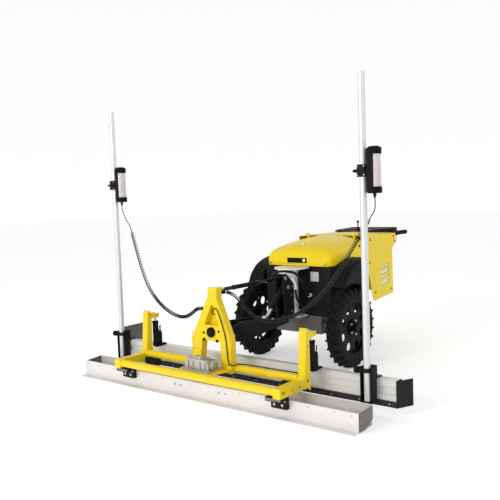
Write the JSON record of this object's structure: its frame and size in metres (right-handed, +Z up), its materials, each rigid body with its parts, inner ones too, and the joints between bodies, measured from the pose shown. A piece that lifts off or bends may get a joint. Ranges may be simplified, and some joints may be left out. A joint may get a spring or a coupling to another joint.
{
  "type": "walk-behind laser power screed",
  "caption": "Two-wheel walk-behind tractor with hood and console that lifts a vibrating screed board, strike-off plough and twin laser receiver masts",
  "frame": {"origin": "on the ground, under the middle of the vibrating board's sole", "axes": "+X to the machine's right seen from the head, +Y from the head towards the tractor and its operator, +Z up"},
  "size_m": [2.4106, 2.516, 1.932],
  "materials": {
    "yellow_paint": "gloss powder coat",
    "black_paint": "satin",
    "grey_paint": "satin, scuffed",
    "plough_silver": "satin",
    "mast_silver": "satin",
    "board_aluminium": "extruded, dull",
    "cast_aluminium": "as cast",
    "dark_steel": "worn",
    "zinc_steel": "zinc plated",
    "chrome_rod": "polished",
    "rubber": "matt",
    "tyre": "matt",
    "black_plastic": "moulded texture",
    "red_plastic": "gloss",
    "clear_plastic": "clear, tinted",
    "cable_jacket": "satin jacket"
  },
  "bodies": {
    "tractor": {"chassis": "grey_paint", "front_post": "plough_silver", "link_bracket": "black_paint", "axle_housing": "grey_paint", "lower_body": "black_paint", "fenders": "black_plastic", "side_panels": "yellow_paint", "rear_cover": "yellow_paint", "engine": "cast_aluminium", "fuel_tank": "black_plastic", "console": "black_plastic", "handlebars": "rubber", "front_hose": "cable_jacket"},
    "hood": {"hood": "yellow_paint"},
    "left_wheel": {"left_rim": "black_paint", "left_tyre": "tyre"},
    "right_wheel": {"right_rim": "black_paint", "right_tyre": "tyre"},
    "lower_arm": {"lower_arm": "black_paint"},
    "top_link": {"top_link": "black_paint"},
    "lift_cylinder": {"lift_cylinder": "black_paint"},
    "lift_rod": {"lift_rod": "chrome_rod"},
    "head": {"vibrating_board": "board_aluminium", "board_end_plates": "grey_paint", "board_mounts": "rubber", "board_bolts": "zinc_steel", "front_tube": "yellow_paint", "rear_tube": "yellow_paint", "left_side_frame": "yellow_paint", "right_side_frame": "yellow_paint", "tower": "yellow_paint", "tower_plug": "black_plastic", "exciter_housing": "cast_aluminium", "exciter_bearings": "zinc_steel", "actuator_rods": "chrome_rod", "actuator_cable": "cable_jacket", "cord_glands": "black_plastic"},
    "exciter_rotor": {"exciter_shaft": "zinc_steel"},
    "plough": {"plough_blade": "plough_silver", "plough_wear_strip": "dark_steel", "left_end_plate": "dark_steel", "right_wing_plate": "black_paint", "mast_brackets": "black_paint", "masts": "mast_silver", "actuator_bodies": "black_paint", "left_receiver": "black_plastic", "right_receiver": "black_plastic", "receiver_windows": "clear_plastic", "receiver_clamps": "black_plastic", "receiver_reliefs": "cable_jacket", "left_lead": "cable_jacket", "left_curly_cord": "cable_jacket", "right_lead": "cable_jacket", "right_curly_cord": "cable_jacket"},
    "left_mast_knob": {"left_mast_knob": "black_plastic"},
    "right_mast_knob": {"right_mast_knob": "black_plastic"},
    "left_receiver_knob": {"left_receiver_knob": "black_plastic"},
    "right_receiver_knob": {"right_receiver_knob": "black_plastic"},
    "drive_lever": {"drive_lever": "black_plastic"},
    "emergency_button": {"emergency_button": "red_plastic"}
  },
  "joints": [
    {"name": "left_wheel_roll", "type": "hinge", "parent": "tractor", "child": "left_wheel", "pos_m": [-0.414, 1.115, 0.296], "axis": [1, 0, 0], "continuous": true},
    {"name": "right_wheel_roll", "type": "hinge", "parent": "tractor", "child": "right_wheel", "pos_m": [0.414, 1.115, 0.296], "axis": [1, 0, 0], "continuous": true},
    {"name": "hood_open", "type": "hinge", "parent": "tractor", "child": "hood", "pos_m": [0, 1.56, 0.951], "axis": [-1, 0, 0], "range_deg": [0, 60]},
    {"name": "lift", "type": "hinge", "parent": "tractor", "child": "lower_arm", "pos_m": [0, 0.855, 0.37], "axis": [-1, 0, 0], "range_deg": [-4, 20]},
    {"name": "head_level", "type": "hinge", "parent": "lower_arm", "child": "head", "pos_m": [0, 0.17, 0.37], "axis": [-1, 0, 0], "range_deg": [-20, 4]},
    {"name": "top_link_swing", "type": "hinge", "parent": "tractor", "child": "top_link", "pos_m": [0, 0.84, 0.67], "axis": [-1, 0, 0], "range_deg": [-4, 20]},
    {"name": "lift_cylinder_swing", "type": "hinge", "parent": "tractor", "child": "lift_cylinder", "pos_m": [0, 0.87, 0.6], "axis": [-1, 0, 0], "range_deg": [-3, 10]},
    {"name": "lift_rod_stroke", "type": "slide", "parent": "lift_cylinder", "child": "lift_rod", "axis": [0, -0.7546, -0.6562], "range_m": [-0.07, 0.02]},
    {"name": "exciter_spin", "type": "hinge", "parent": "head", "child": "exciter_rotor", "pos_m": [0, -0.046, 0.224], "axis": [1, 0, 0], "continuous": true},
    {"name": "plough_height", "type": "slide", "parent": "head", "child": "plough", "axis": [0, 0, 1], "range_m": [-0.05, 0.015]},
    {"name": "left_mast_clamp", "type": "hinge", "parent": "plough", "child": "left_mast_knob", "pos_m": [-1.074, 0.19, 0.268], "axis": [1, 0, 0], "range_deg": [0, 180]},
    {"name": "right_mast_clamp", "type": "hinge", "parent": "plough", "child": "right_mast_knob", "pos_m": [1.016, 0.19, 0.268], "axis": [1, 0, 0], "range_deg": [0, 180]},
    {"name": "left_receiver_clamp", "type": "hinge", "parent": "plough", "child": "left_receiver_knob", "pos_m": [-1.07, 0.204, 1.392], "axis": [1, 0, 0], "range_deg": [0, 180]},
    {"name": "right_receiver_clamp", "type": "hinge", "parent": "plough", "child": "right_receiver_knob", "pos_m": [1.02, 0.204, 1.392], "axis": [1, 0, 0], "range_deg": [0, 180]},
    {"name": "drive_lever_tilt", "type": "hinge", "parent": "tractor", "child": "drive_lever", "pos_m": [0, 2, 0.953], "axis": [1, 0, 0], "range_deg": [-20, 20]},
    {"name": "emergency_press", "type": "slide", "parent": "tractor", "child": "emergency_button", "axis": [0, -1, 0], "range_m": [0, 0.005], "stiffness_N_per_m": 600}
  ],
  "couplings": [
    {"joint": "head_level", "follows": "lift", "ratio": -1},
    {"joint": "top_link_swing", "follows": "lift", "ratio": 1},
    {"joint": "lift_cylinder_swing", "follows": "lift", "ratio": 0.46},
    {"joint": "lift_rod_stroke", "follows": "lift", "m_per_rad": -0.176}
  ]
}
